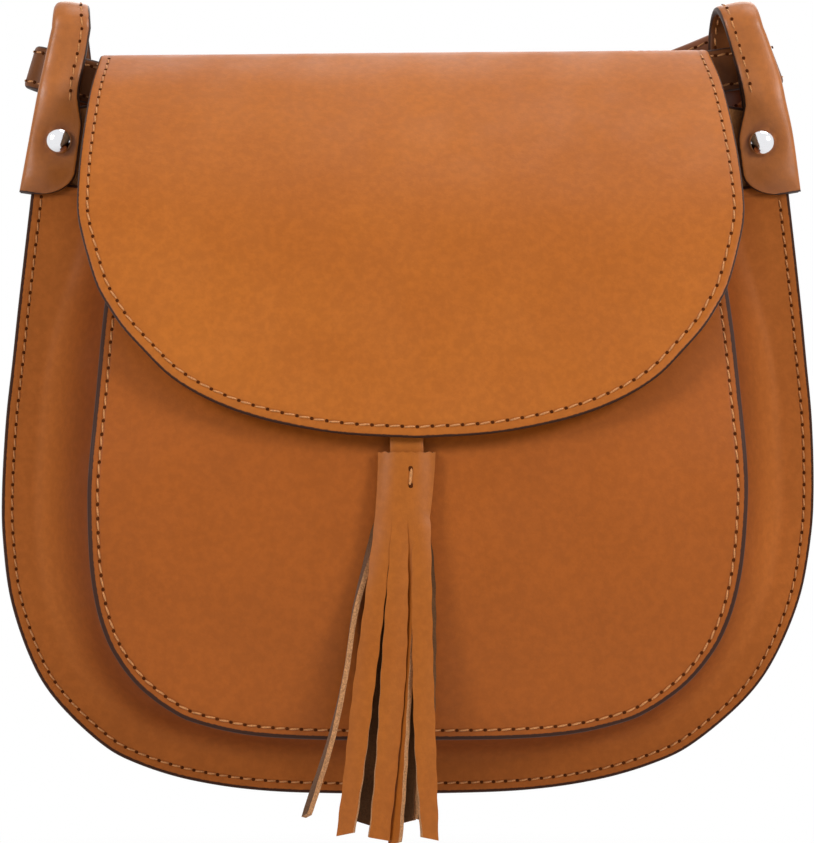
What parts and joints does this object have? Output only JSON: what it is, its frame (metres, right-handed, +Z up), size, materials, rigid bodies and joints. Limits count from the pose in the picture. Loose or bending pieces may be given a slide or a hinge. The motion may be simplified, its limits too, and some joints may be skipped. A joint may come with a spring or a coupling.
{
  "type": "leather shoulder bag",
  "caption": "Saddle-shaped leather shoulder bag with a hinged flap, a fringed tassel, a snap and a riveted, buckled strap folded behind it.",
  "frame": {"origin": "the middle of a rail that passes through both strap arches, above the fold of the flap", "axes": "+X to the wearer's left as seen from the front (the picture's right), -Y out of the front of the bag, +Z up"},
  "size_m": [0.251, 0.1126, 0.2501],
  "materials": {
    "body_leather": "smooth tan vegetable-tanned leather with dark painted edges",
    "body_leather_inner": "smooth brown vegetable-tanned leather",
    "suede_lining": "napped flesh side",
    "strap_leather": "smooth brown leather, folded and sewn",
    "tassel_leather": "smooth tan leather with raw pale cut edges",
    "chrome": "polished",
    "steel": "plain",
    "snap_brass": "polished"
  },
  "bodies": {
    "bag": {"back_panel": "body_leather_inner", "gusset": "body_leather", "front_panel": "body_leather", "snap_stud": "snap_brass", "snap_stud_washer": "steel", "strap_short": "strap_leather", "strap_long": "strap_leather", "rivet_left": "chrome", "rivet_right": "chrome", "rivet_cap_left": "chrome", "rivet_cap_right": "chrome", "buckle_frame": "chrome", "keeper_fixed": "strap_leather"},
    "flap": {"flap": "body_leather", "flap_lining": "suede_lining", "snap_cup": "snap_brass", "snap_cup_washer": "steel", "tassel_tab": "tassel_leather"},
    "tassel_neck": {"tassel_neck": "tassel_leather"},
    "tassel": {"tassel_back": "tassel_leather", "tassel_front": "tassel_leather"},
    "prong": {"buckle_prong": "chrome"},
    "sliding_keeper": {"keeper_sliding": "strap_leather"}
  },
  "joints": [
    {"name": "flap_hinge", "type": "hinge", "parent": "bag", "child": "flap", "pos_m": [0, -0.0058, -0.008], "axis": [-1, 0, 0], "range_deg": [0, 130]},
    {"name": "tassel_swing", "type": "hinge", "parent": "flap", "child": "tassel_neck", "pos_m": [-0.003, -0.09024, -0.1293], "axis": [-1, 0, 0], "range_deg": [0, 90]},
    {"name": "tassel_sway", "type": "hinge", "parent": "tassel_neck", "child": "tassel", "pos_m": [-0.003, -0.09074, -0.137], "axis": [0, -0.9849, 0.1732], "range_deg": [-10, 10]},
    {"name": "prong_hinge", "type": "hinge", "parent": "bag", "child": "prong", "pos_m": [-0.10088, 0.0033, -0.086], "axis": [0.9998, 0, 0.0174], "range_deg": [0, 2]},
    {"name": "keeper_slide", "type": "slide", "parent": "bag", "child": "sliding_keeper", "axis": [-0.0174, 0, 0.9998], "range_m": [-0.007, 0.014]}
  ]
}
